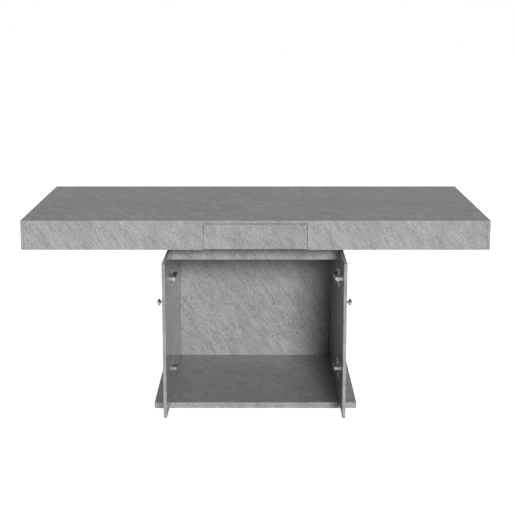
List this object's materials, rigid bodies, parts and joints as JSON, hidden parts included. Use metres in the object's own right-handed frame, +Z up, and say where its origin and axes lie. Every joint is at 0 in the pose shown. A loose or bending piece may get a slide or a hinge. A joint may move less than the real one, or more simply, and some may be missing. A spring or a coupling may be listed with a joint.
{
  "type": "extendable dining table",
  "caption": "Pedestal dining table whose top halves slide apart for a loose leaf with folding skirts, over a base cabinet with hinged doors.",
  "frame": {"origin": "on the floor, under the middle of the base plate and of the extended top", "axes": "+X along the top towards the right half, +Y from the doors towards the back panel, +Z up"},
  "size_m": [1.8, 1.0711, 0.762],
  "materials": {
    "concrete_board": "satin light grey concrete-look laminate on particle board",
    "beech": "planed, unfinished",
    "zinc_steel": "zinc plated",
    "nickel_steel": "nickel plated",
    "chrome": "polished",
    "black_plastic": "matt"
  },
  "bodies": {
    "pedestal": {"base_plate": "concrete_board", "floor_glides": "black_plastic", "left_side_panel": "concrete_board", "right_side_panel": "concrete_board", "back_panel": "concrete_board", "front_top_rail": "concrete_board", "cabinet_top_panel": "concrete_board", "carcass_screws": "zinc_steel", "door_bumpers": "black_plastic", "left_cross_bearer": "beech", "centre_cross_bearer": "beech", "right_cross_bearer": "beech", "front_outer_channel": "zinc_steel", "front_inner_channel": "zinc_steel", "rear_inner_channel": "zinc_steel", "rear_outer_channel": "zinc_steel", "front_leaf_batten": "beech", "rear_leaf_batten": "beech", "travel_stop_pins": "zinc_steel", "frame_screws": "zinc_steel", "hinge_mounting_plates": "zinc_steel", "hinge_arms": "nickel_steel", "hinge_plate_screws": "zinc_steel"},
    "left_half": {"left_top_board": "concrete_board", "left_front_apron": "concrete_board", "left_rear_apron": "concrete_board", "left_end_apron": "concrete_board", "left_glue_blocks": "beech", "left_front_runner": "beech", "left_rear_runner": "beech", "left_runner_screws": "zinc_steel"},
    "right_half": {"right_top_board": "concrete_board", "right_front_apron": "concrete_board", "right_rear_apron": "concrete_board", "right_end_apron": "concrete_board", "right_glue_blocks": "beech", "right_front_runner": "beech", "right_rear_runner": "beech", "right_runner_screws": "zinc_steel"},
    "leaf": {"leaf_board": "concrete_board", "leaf_pegs": "beech", "leaf_hinge_plates": "zinc_steel", "leaf_hinge_pins": "zinc_steel", "leaf_hinge_screws": "zinc_steel"},
    "leaf_front_skirt": {"leaf_front_apron": "concrete_board", "leaf_front_hinge_flaps": "zinc_steel", "leaf_front_flap_screws": "zinc_steel"},
    "leaf_rear_skirt": {"leaf_rear_apron": "concrete_board", "leaf_rear_hinge_flaps": "zinc_steel", "leaf_rear_flap_screws": "zinc_steel"},
    "left_door": {"left_door": "concrete_board", "left_knob": "chrome", "left_hinge_cups": "zinc_steel", "left_door_screws": "zinc_steel"},
    "left_links": {"left_hinge_links": "nickel_steel"},
    "right_door": {"right_door": "concrete_board", "right_knob": "chrome", "right_hinge_cups": "zinc_steel", "right_door_screws": "zinc_steel"},
    "right_links": {"right_hinge_links": "nickel_steel"}
  },
  "joints": [
    {"name": "left_half_slide", "type": "slide", "parent": "pedestal", "child": "left_half", "axis": [-1, 0, 0], "range_m": [0, 0.05]},
    {"name": "right_half_slide", "type": "slide", "parent": "pedestal", "child": "right_half", "axis": [1, 0, 0], "range_m": [0, 0.05]},
    {"name": "leaf_lift", "type": "slide", "parent": "pedestal", "child": "leaf", "axis": [0, 0, 1], "range_m": [0, 0.15]},
    {"name": "front_skirt_fold", "type": "hinge", "parent": "leaf", "child": "leaf_front_skirt", "pos_m": [0, -0.435, 0.746], "axis": [1, 0, 0], "range_deg": [0, 90]},
    {"name": "rear_skirt_fold", "type": "hinge", "parent": "leaf", "child": "leaf_rear_skirt", "pos_m": [0, 0.435, 0.746], "axis": [-1, 0, 0], "range_deg": [0, 90]},
    {"name": "left_door_hinge", "type": "hinge", "parent": "pedestal", "child": "left_door", "pos_m": [-0.338, -0.284, 0.317], "axis": [0, 0, 1], "range_deg": [-14, 90.8]},
    {"name": "right_door_hinge", "type": "hinge", "parent": "pedestal", "child": "right_door", "pos_m": [0.338, -0.284, 0.317], "axis": [0, 0, -1], "range_deg": [-15, 89.7]},
    {"name": "left_link_turn", "type": "hinge", "parent": "pedestal", "child": "left_links", "pos_m": [-0.338, -0.284, 0.317], "axis": [0, 0, 1], "range_deg": [-8, 46]},
    {"name": "right_link_turn", "type": "hinge", "parent": "pedestal", "child": "right_links", "pos_m": [0.338, -0.284, 0.317], "axis": [0, 0, -1], "range_deg": [-8, 46]}
  ],
  "couplings": [
    {"joint": "left_link_turn", "follows": "left_door_hinge", "ratio": 0.5},
    {"joint": "right_link_turn", "follows": "right_door_hinge", "ratio": 0.5}
  ]
}
